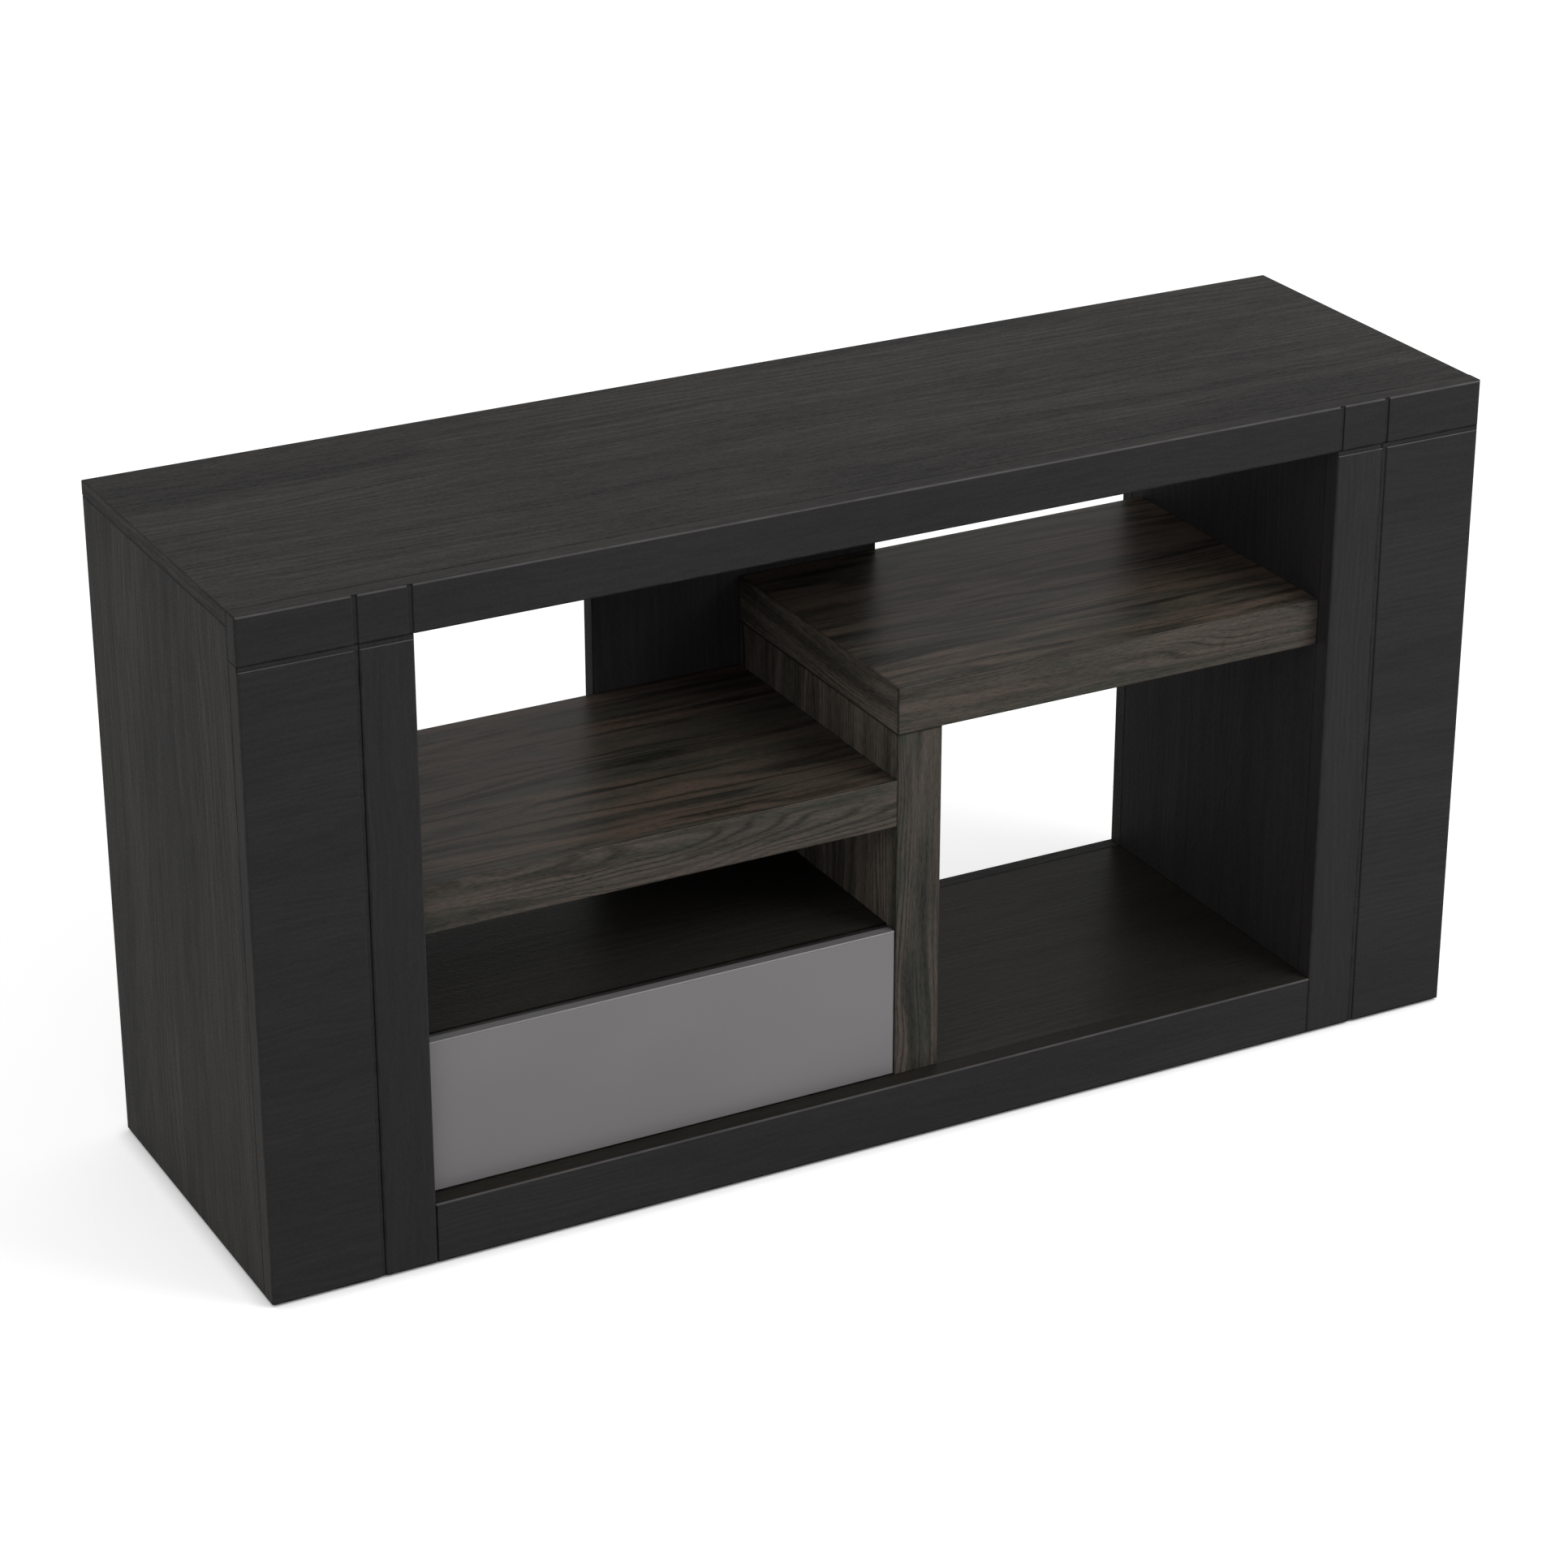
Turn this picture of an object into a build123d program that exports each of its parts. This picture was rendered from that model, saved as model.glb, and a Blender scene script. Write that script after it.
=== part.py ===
"""Console table: two hollow pillars, a grooved front frame, walnut shelves and one push-open drawer.

Millimetres, +Z up. The front faces -Y and the origin is on the floor under the middle of the table.
Left and right are as seen from the front, so left is -X.
"""
import os

from build123d import *

# Overall size
table_width = 1300
table_depth = 380
table_height = 680

# Boards
carcass_board = 15
front_board = 20
back_board = 18
shelf_thickness = 48
shelf_skin = 8
edge_band = 1
batten_width = 40
drawer_front_board = 15
drawer_board = 12
drawer_bottom_board = 3

# Front frame
fascia_height = 46
pillar_front_width = 113
pillar_stile_width = 52
groove_width = 5
groove_depth = 1.6
round_over = 2.5
arris = 0.8
seam_ease = 0.5

# Heights of the inner boards' upper faces, and the bay beside the divider
base_top = 64
left_shelf_top = 379
upper_shelf_top = 474
left_bay_width = 496

# Centre back panel, measured each way from the divider's left face
back_panel_left_reach = 163
back_panel_right_reach = 156

# Drawer
drawer_front_height = 155
drawer_side_gap = 1.5
drawer_foot_gap = 2
press_travel = 3
press_clearance = 0.5
drawer_travel = 280
drawer_box_height = 115
drawer_box_lift = 8
drawer_rear_gap = 12
bottom_lift = 10
bottom_groove_depth = 6
bottom_groove_clearance = 0.15

# Drawer slides
slide_width = 12.7
slide_height = 45
slide_rear_gap = 5.5
slide_sheet = 1.2
slide_bend = 1.8
slide_lip = 1.3
slide_flange_margin = 2.4
ball_row = 2.6
cage_web = 0.6
running_gap = 0.3
cage_end_margin = 7.5
catch_length = 20
catch_gap = 5
catch_height = 30
catch_depth = 9

# Joinery
dowel_diameter = 8
dowel_length = 30
dowel_face_depth = 10
dowel_clearance = 0.1
dowel_end_gap = 0.5
dowel_inset = 40
tongue_width = 16
tongue_thickness = 4
tongue_clearance = 0.1
tongue_stop = 60
drawer_tongue_stop = 20
cam_diameter = 15
cam_depth = 12
cam_setback = 24
cam_clearance = 0.15
cam_inset = 60
bolt_diameter = 6
bolt_bite = 10

# Floor glides
glide_height = 3
glide_length = 30
glide_width = 12
glide_chamfer = 1.5
glide_inset = 30

# Planes and widths that follow from the sizes above
half_width = table_width / 2
front = -table_depth / 2
back = table_depth / 2
frame_back = front + front_board
inner_back = back - back_board
shelf_back = inner_back - back_board
foot = glide_height
top_under = table_height - carcass_board
fascia_foot = table_height - fascia_height
base_under = base_top - carcass_board
pillar_width = pillar_front_width + pillar_stile_width
bay_left = pillar_width - half_width
bay_right = -bay_left
divider_left = bay_left + left_bay_width
divider_right = divider_left + shelf_thickness
left_shelf_under = left_shelf_top - shelf_thickness
upper_shelf_under = upper_shelf_top - shelf_thickness
drawer_foot = base_top + drawer_foot_gap
cover_top = drawer_foot + drawer_front_height
cover_under = cover_top - carcass_board
drawer_plane = frame_back + drawer_front_board
press_gap = press_travel + press_clearance
behind_drawer_front = drawer_plane + press_gap

# Two coordinates closer than this count as the same place
touching = 0.01

solids = {}


def middle(span):
    return (span[0] + span[1]) / 2


def board(x, y, z):
    """A rectangular board from its low and high limits along each axis."""
    size = [limits[1] - limits[0] for limits in (x, y, z)]
    return Pos(middle(x), middle(y), middle(z)) * Box(*size)


def on_line(edge, line):
    """Whether an edge lies along a line, given as the two coordinates that stay the same on it."""
    ends = (edge @ 0, edge @ 1)
    return all(abs(getattr(end, axis) - value) < touching for end in ends for axis, value in line.items())


def edges_on(solid, *lines):
    return [edge for edge in solid.edges() if any(on_line(edge, line) for line in lines)]


def face_edges(solid, axis, side):
    """The edges of the face that lies furthest along an axis (side -1) or least far (side 0)."""
    return solid.faces().sort_by(axis)[side].edges()


def cut(node, tool):
    solids[node] = [piece - tool for piece in solids[node]]


def mirrored(solid):
    return mirror(solid, about=Plane.YZ)


# Top panel and grooved fascia. Edges that meet another board are eased, so each joint shows as a fine line.
side_lines = [dict(X=-half_width), dict(X=half_width)]
top_panel = board((-half_width, half_width), (frame_back, back), (top_under, table_height))
top_seams = [dict(Y=frame_back, Z=table_height), dict(Y=back, Z=top_under)]
top_seams += [line | dict(Z=top_under) for line in side_lines]
top_seams += [line | dict(Y=frame_back) for line in side_lines]
top_panel = chamfer(edges_on(top_panel, *top_seams), seam_ease)
top_rim = [dict(Y=back, Z=table_height)] + [line | dict(Z=table_height) for line in side_lines]
solids["top_panel"] = [chamfer(edges_on(top_panel, *top_rim), arris)]

fascia = board((-half_width, half_width), (front, frame_back), (fascia_foot, table_height))
fascia_round = [dict(Y=front, Z=table_height)] + [line | dict(Y=front) for line in side_lines]
fascia = fillet(edges_on(fascia, *fascia_round), round_over)
fascia_seams = [dict(Y=frame_back, Z=table_height)]
fascia_seams += [line | dict(Y=frame_back) for line in side_lines]
fascia_seams += [line | dict(Z=fascia_foot) for line in side_lines]
fascia = chamfer(edges_on(fascia, *fascia_seams), seam_ease)
for groove_end in (pillar_front_width, pillar_width):
    groove_x = (groove_end - groove_width - half_width, groove_end - half_width)
    groove = board(groove_x, (front, front + groove_depth), (fascia_foot, table_height))
    fascia = fascia - groove - mirrored(groove)
    lips = [dict(X=side * x, Y=front) for side in (-1, 1) for x in groove_x]
    fascia = chamfer(edges_on(fascia, *lips), seam_ease)
solids["top_fascia"] = [fascia]

# Pillars, drawn on the left: two front boards, a side panel, an inner panel and a back
pillar_top_rebate = board(
    (-half_width, bay_left), (front, front + groove_depth), (fascia_foot - groove_width, fascia_foot)
)
seam = pillar_front_width - half_width
rebate_foot = fascia_foot - groove_width

pillar_front = board((-half_width, seam), (front, frame_back), (foot, fascia_foot))
pillar_front -= pillar_top_rebate
pillar_front -= board((seam - groove_width, seam), (front, front + groove_depth), (foot, fascia_foot))
pillar_front = fillet(edges_on(pillar_front, dict(X=-half_width, Y=front)), round_over)
pillar_front = chamfer(
    edges_on(pillar_front, dict(X=seam - groove_width, Y=front), dict(Y=front, Z=rebate_foot)), arris
)
pillar_seams = [dict(X=-half_width, Y=frame_back), dict(X=-half_width, Z=fascia_foot)]
pillar_front = chamfer(edges_on(pillar_front, *pillar_seams), seam_ease)

pillar_stile = board((seam, bay_left), (front, frame_back), (foot, fascia_foot)) - pillar_top_rebate
pillar_stile = fillet(edges_on(pillar_stile, dict(X=bay_left, Y=front)), round_over)
pillar_stile = chamfer(edges_on(pillar_stile, dict(X=seam, Y=front), dict(Y=front, Z=rebate_foot)), arris)
pillar_stile = chamfer(edges_on(pillar_stile, dict(X=bay_left, Y=frame_back)), seam_ease)

side_panel_inside = carcass_board - half_width
side_panel = board((-half_width, side_panel_inside), (frame_back, back), (foot, top_under))
side_seams = [dict(X=-half_width, Y=frame_back), dict(X=-half_width, Z=top_under)]
side_seams += [dict(X=side_panel_inside, Y=back), dict(Y=back, Z=top_under)]
side_panel = chamfer(edges_on(side_panel, *side_seams), seam_ease)
side_panel = chamfer(edges_on(side_panel, dict(X=-half_width, Y=back)), arris)

inner_panel = board((bay_left - carcass_board, bay_left), (frame_back, inner_back), (foot, top_under))
inner_seams = [dict(X=bay_left, Y=frame_back), dict(X=bay_left, Y=inner_back)]
inner_panel = chamfer(edges_on(inner_panel, *inner_seams), seam_ease)

pillar_back = board((side_panel_inside, bay_left), (inner_back, back), (foot, top_under))
back_seams = [dict(X=side_panel_inside, Y=back), dict(X=bay_left, Y=inner_back), dict(Y=back, Z=top_under)]
pillar_back = chamfer(edges_on(pillar_back, *back_seams), seam_ease)
pillar_back = chamfer(edges_on(pillar_back, dict(X=bay_left, Y=back)), arris)

pillar_boards = {
    "pillar_front": pillar_front,
    "pillar_stile": pillar_stile,
    "side_panel": side_panel,
    "inner_panel": inner_panel,
    "pillar_back": pillar_back,
}
for name, piece in pillar_boards.items():
    solids[f"left_{name}"] = [piece]
    solids[f"right_{name}"] = [mirrored(piece)]

# Plinth: base panel between a front and a back rail
bay = (bay_left, bay_right)
base_panel = board(bay, (frame_back, inner_back), (base_under, base_top))
base_seams = [dict(Y=frame_back, Z=base_top), dict(Y=inner_back, Z=base_top)]
solids["base_panel"] = [chamfer(edges_on(base_panel, *base_seams), seam_ease)]
front_rail = board(bay, (front, frame_back), (foot, base_top))
front_rail = fillet(edges_on(front_rail, dict(Y=front, Z=base_top)), round_over)
solids["front_rail"] = [chamfer(edges_on(front_rail, dict(Y=frame_back, Z=base_top)), seam_ease)]
back_rail = board(bay, (inner_back, back), (foot, base_top))
back_rail = chamfer(edges_on(back_rail, dict(Y=back, Z=base_top)), arris)
solids["back_rail"] = [chamfer(edges_on(back_rail, dict(Y=inner_back, Z=base_top)), seam_ease)]

# Centre back panel, standing on the base behind the divider
back_panel_x = (divider_left - back_panel_left_reach, divider_left + back_panel_right_reach)
back_panel = board(back_panel_x, (shelf_back, inner_back), (base_top, top_under))
solids["centre_back_panel"] = [chamfer(back_panel.edges().filter_by(Axis.Z), arris)]


# Built-up walnut boards: two skins on a core of battens, closed by bands on the edges that show
def batten_frame(x, y, z, thin_axis):
    """Four battens: two run the full length at front and back, two close the ends between them."""
    rails_y = ((y[0], y[0] + batten_width), (y[1] - batten_width, y[1]))
    between = (y[0] + batten_width, y[1] - batten_width)
    if thin_axis == "z":
        ends = [((x[0], x[0] + batten_width), z), ((x[1] - batten_width, x[1]), z)]
    else:
        ends = [(x, (z[0], z[0] + batten_width)), (x, (z[1] - batten_width, z[1]))]
    rails = [board(x, limits, z) for limits in rails_y]
    return rails + [board(end_x, between, end_z) for end_x, end_z in ends]


def eased_band(x, y, z, long_axis):
    """A strip of edge band along the front or the back, with its long outer edges eased."""
    strip = board(x, y, z)
    outer_side = 0 if y[0] < 0 else -1
    return chamfer(face_edges(strip, Axis.Y, outer_side).filter_by(long_axis), arris)


core_y = (frame_back + edge_band, shelf_back - edge_band)
band_y = ((frame_back, core_y[0]), (core_y[1], shelf_back))


def shelf(name, x, top, left_band=0):
    """A flat built-up shelf; left_band leaves room for a band on its left end."""
    core_x = (x[0] + left_band, x[1])
    under = top - shelf_thickness
    core_z = (under + shelf_skin, top - shelf_skin)
    solids[f"{name}_top_skin"] = [board(core_x, core_y, (core_z[1], top))]
    solids[f"{name}_bottom_skin"] = [board(core_x, core_y, (under, core_z[0]))]
    solids[f"{name}_core"] = batten_frame(core_x, core_y, core_z, "z")
    solids[f"{name}_edge_bands"] = [eased_band(x, limits, (under, top), Axis.X) for limits in band_y]


shelf("left_shelf", (bay_left, divider_left), left_shelf_top)
shelf("upper_shelf", (divider_left, bay_right), upper_shelf_top, left_band=edge_band)
end_band = board((divider_left, divider_left + edge_band), core_y, (upper_shelf_under, upper_shelf_top))
end_rim = face_edges(end_band, Axis.X, 0).filter_by(Axis.Y)
solids["upper_shelf_end_band"] = [chamfer(end_rim, arris)]

divider_z = (base_top, upper_shelf_under)
divider_core_x = (divider_left + shelf_skin, divider_right - shelf_skin)
solids["divider_left_skin"] = [board((divider_left, divider_core_x[0]), core_y, divider_z)]
solids["divider_right_skin"] = [board((divider_core_x[1], divider_right), core_y, divider_z)]
solids["divider_core"] = batten_frame(divider_core_x, core_y, divider_z, "x")
divider_x = (divider_left, divider_right)
solids["divider_edge_bands"] = [eased_band(divider_x, limits, divider_z, Axis.Z) for limits in band_y]

# Cover shelf over the drawer
cover_y = (behind_drawer_front, shelf_back)
solids["drawer_cover_shelf"] = [board((bay_left, divider_left), cover_y, (cover_under, cover_top))]

# Drawer front and box
drawer_front_x = (bay_left + drawer_side_gap, divider_left - drawer_side_gap)
drawer_front = board(drawer_front_x, (frame_back, drawer_plane), (drawer_foot, cover_top))
drawer_front = chamfer(face_edges(drawer_front, Axis.Y, 0), arris)
box_x = (bay_left + slide_width, divider_left - slide_width)
box_inside_x = (box_x[0] + drawer_board, box_x[1] - drawer_board)
box_y = (drawer_plane, shelf_back - drawer_rear_gap)
box_foot = base_top + drawer_box_lift
box_z = (box_foot, box_foot + drawer_box_height)
bottom_z = (box_foot + bottom_lift, box_foot + bottom_lift + drawer_bottom_board)
bottom_reach = bottom_groove_depth - bottom_groove_clearance
bottom_x = (box_inside_x[0] - bottom_reach, box_inside_x[1] + bottom_reach)
bottom_groove = board(
    (box_inside_x[0] - bottom_groove_depth, box_inside_x[1] + bottom_groove_depth),
    (drawer_plane - bottom_groove_depth, box_y[1]),
    (bottom_z[0] - bottom_groove_clearance, bottom_z[1] + bottom_groove_clearance),
)
solids["drawer_front"] = [drawer_front - bottom_groove]
for name, side_x in (("left", (box_x[0], box_inside_x[0])), ("right", (box_inside_x[1], box_x[1]))):
    side = board(side_x, box_y, box_z)
    side = chamfer(face_edges(side, Axis.Z, -1).filter_by(Axis.Y), arris)
    solids[f"drawer_{name}_side"] = [side - bottom_groove]
drawer_back_y = (box_y[1] - drawer_board, box_y[1])
drawer_back_z = (bottom_z[1] + bottom_groove_clearance, box_z[1])
solids["drawer_back"] = [board(box_inside_x, drawer_back_y, drawer_back_z)]
solids["drawer_bottom"] = [board(bottom_x, (drawer_plane - bottom_reach, box_y[1]), bottom_z)]

# Drawer slides: nested rolled channels with a ball cage in each running gap.
# Section sizes are depths from the cabinet wall and half heights from the slide's middle.
slide_y = (behind_drawer_front, shelf_back - slide_rear_gap)
slide_length = slide_y[1] - slide_y[0]
member_length = slide_length - catch_length - catch_gap
cage_length = member_length - drawer_travel / 2 - 2 * cage_end_margin
slide_middle_z = middle(box_z)

cabinet_half = slide_height / 2
outer_cage_half = cabinet_half - slide_sheet - running_gap
middle_half = outer_cage_half - ball_row - running_gap
inner_cage_half = middle_half - slide_sheet - running_gap
drawer_member_half = inner_cage_half - ball_row - running_gap

outer_cage_wall = slide_sheet + running_gap
middle_wall = outer_cage_wall + cage_web + running_gap
inner_cage_wall = middle_wall + slide_sheet + running_gap
drawer_member_tip = inner_cage_wall + cage_web + running_gap
cabinet_tip = slide_width - slide_sheet - 2 * running_gap - slide_lip
middle_tip = slide_width - slide_flange_margin


def strip(depth, half):
    """A rectangle in the slide's section from its limits in depth and half height."""
    return Pos(middle(depth), middle(half)) * Rectangle(abs(depth[1] - depth[0]), abs(half[1] - half[0]))


def bent(depth, half, radius):
    """A rectangle in the slide's section with its two corners at the first depth rounded."""
    area = strip(depth, (-half, half))
    web_side = 0 if depth[0] < depth[1] else -1
    return fillet(area.vertices().group_by(Axis.X)[web_side], radius)


def rolled_channel(wall, tip, half, lip):
    """A channel of bent sheet: its web at depth wall, its flanges running to depth tip, lips turned in."""
    inward = 1 if tip > wall else -1
    hollow = bent((wall + inward * slide_sheet, tip), half - slide_sheet, slide_bend - slide_sheet)
    section = bent((wall, tip), half, slide_bend) - hollow
    if lip:
        lip_depth = (tip - inward * slide_sheet, tip)
        for side in (-1, 1):
            section += strip(lip_depth, (side * (half - slide_sheet - lip), side * (half - slide_sheet)))
    return section


def ball_cage(wall, channel_tip, half):
    """Two cage strips joined by a thin web: each strip fills the running gap of one ball row."""
    tip = channel_tip - slide_sheet - running_gap
    section = strip((wall, tip), (-half, half))
    return section - strip((wall + cage_web, tip), (ball_row - half, half - ball_row))


slide_sections = {
    "slide_cabinet_member": rolled_channel(0, cabinet_tip, cabinet_half, slide_lip),
    "slide_outer_cage": ball_cage(outer_cage_wall, cabinet_tip, outer_cage_half),
    "slide_middle_member": rolled_channel(middle_wall, middle_tip, middle_half, slide_lip),
    "slide_inner_cage": ball_cage(inner_cage_wall, middle_tip, inner_cage_half),
    "slide_drawer_member": rolled_channel(slide_width, drawer_member_tip, drawer_member_half, 0),
}
cage_start = (member_length - cage_length) / 2
slide_spans = {
    "slide_cabinet_member": (0, slide_length),
    "slide_outer_cage": (cage_start, cage_start + cage_length),
    "slide_middle_member": (0, member_length),
    "slide_inner_cage": (cage_start, cage_start + cage_length),
    "slide_drawer_member": (0, member_length),
}
catch_section = strip((slide_sheet, slide_sheet + catch_depth), (-catch_height / 2, catch_height / 2))
catch_section = fillet(catch_section.vertices(), slide_bend)

for name, wall_x, inward in (("left", bay_left, 1), ("right", divider_left, -1)):
    origin = (wall_x, slide_y[0], slide_middle_z)
    slide_plane = Plane(origin=origin, x_dir=(inward, 0, 0), z_dir=(0, 1, 0))
    for part_name, section in slide_sections.items():
        start, end = slide_spans[part_name]
        solids[f"{name}_{part_name}"] = [slide_plane * Pos(0, 0, start) * extrude(section, end - start)]
    catch = extrude(catch_section, catch_length)
    solids[f"{name}_push_catch"] = [slide_plane * Pos(0, 0, slide_length - catch_length) * catch]


# Joinery: each fitting goes into its group and its holes are cut in the boards that it joins
def rod(point, direction, start, end, diameter):
    """A round bar along a direction, from one distance to another past a point."""
    bar = Cylinder(diameter / 2, end - start, align=(Align.CENTER, Align.CENTER, Align.MIN))
    return Plane(origin=point, z_dir=direction) * Pos(0, 0, start) * bar


def dowel(point, into_edge, nodes):
    """A dowel across a joint: shallow in the face board, deep in the edge of the board it enters."""
    start = -dowel_face_depth
    end = dowel_length - dowel_face_depth
    solids.setdefault("dowels", []).append(rod(point, into_edge, start, end, dowel_diameter))
    bore = dowel_diameter + 2 * dowel_clearance
    hole = rod(point, into_edge, start - dowel_end_gap, end + dowel_end_gap, bore)
    for node in nodes:
        cut(node, hole)


def tongue(group, across, along, point, length, nodes):
    """A loose tongue glued into facing grooves: it crosses the joint on one axis and runs along another."""
    size = dict.fromkeys("xyz", tongue_thickness)
    size[across] = tongue_width
    size[along] = length
    solids.setdefault(group, []).append(Pos(*point) * Box(*size.values()))
    slot = Pos(*point) * Box(*[side + 2 * tongue_clearance for side in size.values()])
    for node in nodes:
        cut(node, slot)


def cam_fitting(point, into_edge, cam_face, face_node, edge_node):
    """A cam lock in a board's hidden face, drawing up a bolt that is screwed into the other board."""
    into = Vector(into_edge)
    cam_point = Vector(point) + into * cam_setback + Vector(cam_face) * (carcass_board / 2)
    cam = rod(cam_point, cam_face, -cam_depth, 0, cam_diameter)
    bolt_end = cam_setback - cam_diameter / 2 - 2 * cam_clearance
    bolt = rod(point, into_edge, -bolt_bite, bolt_end, bolt_diameter)
    solids.setdefault("cam_locks", []).append(cam)
    solids.setdefault("cam_bolts", []).append(bolt)
    cam_hole = rod(cam_point, cam_face, -cam_depth - cam_clearance, 0, cam_diameter + 2 * cam_clearance)
    bolt_bore = bolt_diameter + 2 * cam_clearance
    cut(edge_node, cam_hole)
    cut(edge_node, rod(point, into_edge, 0, cam_setback, bolt_bore))
    cut(face_node, rod(point, into_edge, -bolt_bite - cam_clearance, 0, bolt_bore))


def length_between(span, stop):
    return span[1] - span[0] - 2 * stop


# Fascia and rails glued to the edges of the top and the base
top_middle_z = middle((top_under, table_height))
base_middle_z = middle((base_under, base_top))
fascia_length = length_between((-half_width, half_width), tongue_stop)
tongue("glue_tongues", "y", "x", (0, frame_back, top_middle_z), fascia_length, ["top_fascia", "top_panel"])
rail_length = length_between(bay, tongue_stop)
tongue("glue_tongues", "y", "x", (0, frame_back, base_middle_z), rail_length, ["front_rail", "base_panel"])
for open_x in ((bay_left, back_panel_x[0]), (back_panel_x[1], bay_right)):
    rail_point = (middle(open_x), inner_back, base_middle_z)
    rail_length = length_between(open_x, tongue_stop)
    tongue("glue_tongues", "y", "x", rail_point, rail_length, ["back_rail", "base_panel"])

# Pillars: front boards on the panels' edges, the top on the panels' ends, the base bolted between them
side_panel_x = half_width - carcass_board / 2
inner_panel_x = bay_right + carcass_board / 2
pillar_z = (foot, fascia_foot)
panel_y = (frame_back, inner_back)
for name, outward in (("left", -1), ("right", 1)):
    for panel, panel_x, front_name in (
        (f"{name}_side_panel", outward * side_panel_x, f"{name}_pillar_front"),
        (f"{name}_inner_panel", outward * inner_panel_x, f"{name}_pillar_stile"),
    ):
        front_point = (panel_x, frame_back, middle(pillar_z))
        head_point = (panel_x, middle(panel_y), top_under)
        pillar_length = length_between(pillar_z, tongue_stop)
        head_length = length_between(panel_y, tongue_stop)
        tongue("glue_tongues", "y", "z", front_point, pillar_length, [front_name, panel])
        tongue("glue_tongues", "z", "y", head_point, head_length, ["top_panel", panel])
    for y in (frame_back + cam_inset, inner_back - cam_inset):
        base_point = (outward * bay_right, y, base_middle_z)
        cam_fitting(base_point, (-outward, 0, 0), (0, 0, -1), f"{name}_inner_panel", "base_panel")

# Shelves between the inner panels and the divider
left_shelf_z = left_shelf_top - shelf_thickness / 2
upper_shelf_z = upper_shelf_top - shelf_thickness / 2
cover_z = cover_top - carcass_board / 2
for joint_x, z, span_y, nodes in (
    (bay_left, left_shelf_z, core_y, ["left_inner_panel", "left_shelf_core"]),
    (divider_left, left_shelf_z, core_y, ["divider_left_skin", "divider_core", "left_shelf_core"]),
    (bay_right, upper_shelf_z, core_y, ["right_inner_panel", "upper_shelf_core"]),
    (bay_left, cover_z, cover_y, ["left_inner_panel", "drawer_cover_shelf"]),
    (divider_left, cover_z, cover_y, ["divider_left_skin", "divider_core", "drawer_cover_shelf"]),
):
    shelf_point = (joint_x, middle(span_y), z)
    tongue("glue_tongues", "x", "y", shelf_point, length_between(span_y, tongue_stop), nodes)

# Divider and centre back panel, dowelled top and bottom
divider_head = ["upper_shelf_bottom_skin", "upper_shelf_core", "divider_core"]
for y in (core_y[0] + batten_width / 2, core_y[1] - batten_width / 2):
    dowel((middle(divider_x), y, upper_shelf_under), (0, 0, -1), divider_head)
    dowel((middle(divider_x), y, base_top), (0, 0, 1), ["base_panel", "divider_core"])
back_panel_y = middle((shelf_back, inner_back))
for x in (back_panel_x[0] + dowel_inset, back_panel_x[1] - dowel_inset):
    dowel((x, back_panel_y, top_under), (0, 0, -1), ["top_panel", "centre_back_panel"])
    dowel((x, back_panel_y, base_top), (0, 0, 1), ["base_panel", "centre_back_panel"])

# Drawer front on the drawer sides, above the bottom's groove
drawer_joint_z = (bottom_z[1], box_z[1])
for name, x in (("left", box_x[0] + drawer_board / 2), ("right", box_x[1] - drawer_board / 2)):
    point = (x, drawer_plane, middle(drawer_joint_z))
    length = length_between(drawer_joint_z, drawer_tongue_stop)
    tongue("drawer_tongues", "y", "z", point, length, ["drawer_front", f"drawer_{name}_side"])

# Floor glides under the upright panels, chamfered round the foot
glide = board((-glide_width / 2, glide_width / 2), (-glide_length / 2, glide_length / 2), (0, glide_height))
glide = chamfer(face_edges(glide, Axis.Z, 0), glide_chamfer)
glides = []
for x in (-side_panel_x, -inner_panel_x, inner_panel_x, side_panel_x):
    for y in (frame_back + glide_inset, inner_back - glide_inset):
        glides.append(Pos(x, y, 0) * glide)
solids["floor_glides"] = glides

os.makedirs("parts", exist_ok=True)
for node, pieces in solids.items():
    bodies = [solid for piece in pieces for solid in piece.solids()]
    export_step(bodies[0] if len(bodies) == 1 else Compound(children=bodies), f"parts/{node}.step")
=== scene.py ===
"""Console table, dressed for the studio: each board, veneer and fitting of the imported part."""
import math

import bmesh
import bpy
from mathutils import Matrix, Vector


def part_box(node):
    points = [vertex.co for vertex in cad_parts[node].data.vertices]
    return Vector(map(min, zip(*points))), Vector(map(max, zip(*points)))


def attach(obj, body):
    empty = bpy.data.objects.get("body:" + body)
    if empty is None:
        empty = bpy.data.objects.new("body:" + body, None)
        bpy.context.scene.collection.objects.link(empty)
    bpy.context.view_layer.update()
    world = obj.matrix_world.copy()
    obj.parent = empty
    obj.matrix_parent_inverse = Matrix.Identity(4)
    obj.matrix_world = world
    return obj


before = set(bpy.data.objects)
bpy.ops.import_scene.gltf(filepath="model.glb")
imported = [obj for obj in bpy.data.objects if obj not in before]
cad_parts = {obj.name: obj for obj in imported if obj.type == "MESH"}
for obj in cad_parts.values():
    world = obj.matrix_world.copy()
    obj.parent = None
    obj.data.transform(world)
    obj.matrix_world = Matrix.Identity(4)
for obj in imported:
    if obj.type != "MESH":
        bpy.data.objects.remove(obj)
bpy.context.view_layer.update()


# Top panel: a 15 mm board faced with black wood-grain laminate, its grain along the table.
# It lies on the pillar panels, is glued behind the fascia, and has its rim lightly eased.
def screen_colour(red, green, blue):
    """A colour as read off a screen, 0 to 255, in the linear values that a shader takes."""
    shares = [value / 255 for value in (red, green, blue)]
    linear = [s / 12.92 if s <= 0.04045 else ((s + 0.055) / 1.055) ** 2.4 for s in shares]
    return (*linear, 1)


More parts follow.
